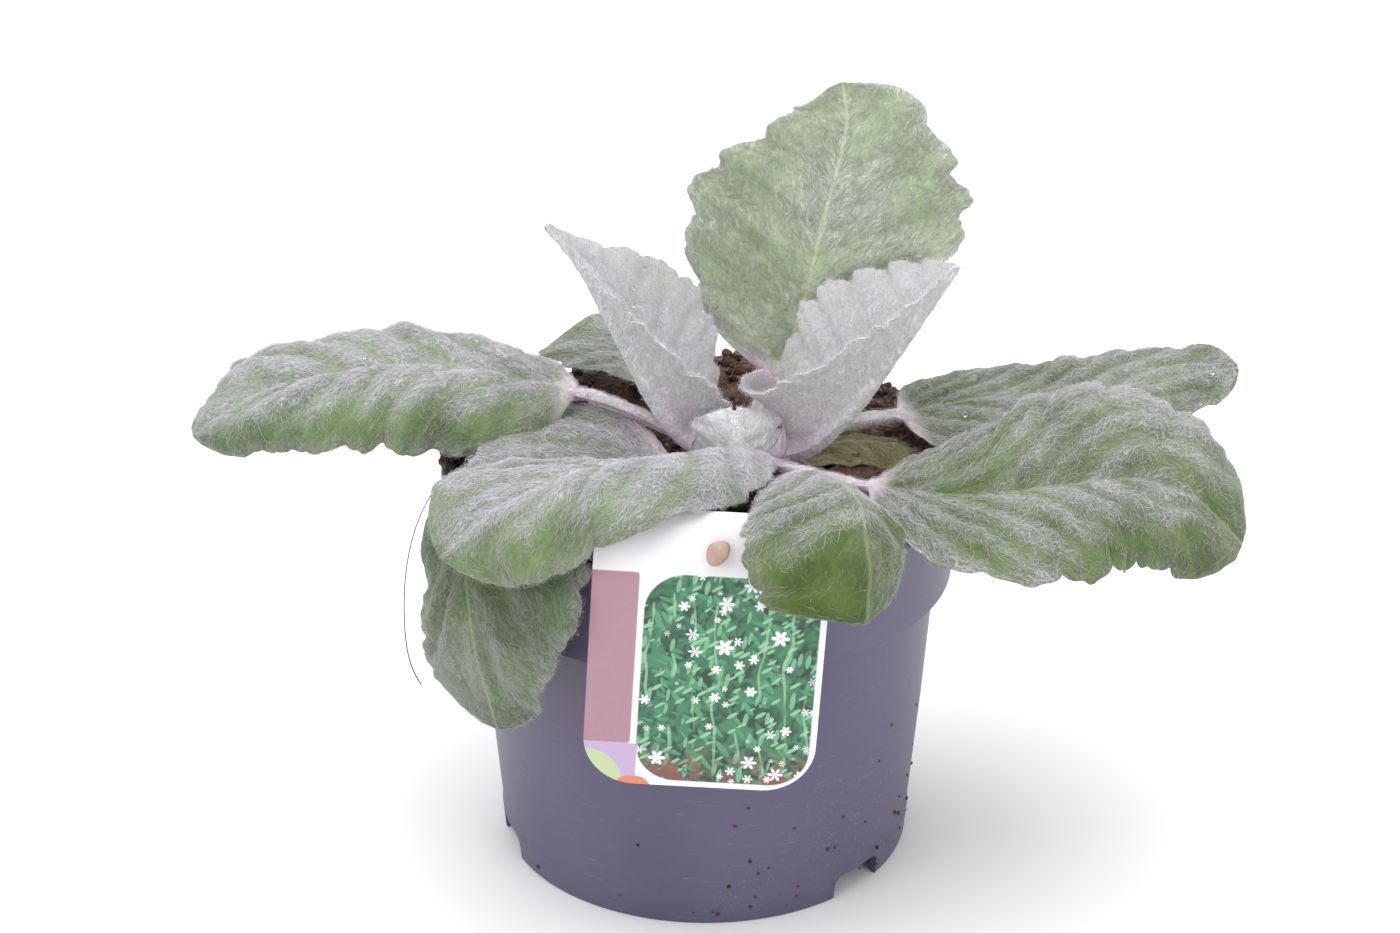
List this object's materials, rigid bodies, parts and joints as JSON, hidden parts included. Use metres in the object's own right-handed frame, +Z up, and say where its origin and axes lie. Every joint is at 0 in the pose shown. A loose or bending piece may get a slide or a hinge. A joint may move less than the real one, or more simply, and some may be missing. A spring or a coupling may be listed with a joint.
{
  "type": "potted silver sage",
  "caption": "Woolly silver sage rosette in a round plastic nursery pot with soil and a hanging picture tag",
  "frame": {"origin": "centre of the pot's underside, on the face it stands on", "axes": "+Z up, the tag on the -Y side"},
  "size_m": [0.3613, 0.1978, 0.2529],
  "materials": {
    "pot_plastic": "satin moulded plastic, dark blue grey",
    "soil_peat": "rough peat and bark, brown",
    "crown_wool": "dense white wool with a lavender tint",
    "leaf_wool": "grey-green leaf under long white silky hair",
    "leaf_young_wool": "white woolly young leaf",
    "leaf_old": "olive old leaf, short hair",
    "tag_plastic": "thin printed white plastic sheet",
    "peg_tan": "tan, smooth"
  },
  "bodies": {
    "root": {"pot": "pot_plastic", "soil": "soil_peat", "crown_and_taproot": "crown_wool", "leaf_heart": "leaf_young_wool", "leaf_inner_right": "leaf_young_wool", "leaf_inner_left": "leaf_young_wool", "leaf_back": "leaf_wool", "leaf_front_left": "leaf_wool", "leaf_front_right": "leaf_wool", "leaf_right_front": "leaf_wool", "leaf_right_back": "leaf_wool", "leaf_left": "leaf_wool", "leaf_front_left_hanging": "leaf_wool", "leaf_back_left": "leaf_wool", "leaf_low_right": "leaf_old", "tag": "tag_plastic", "tag_peg": "peg_tan"}
  },
  "joints": []
}
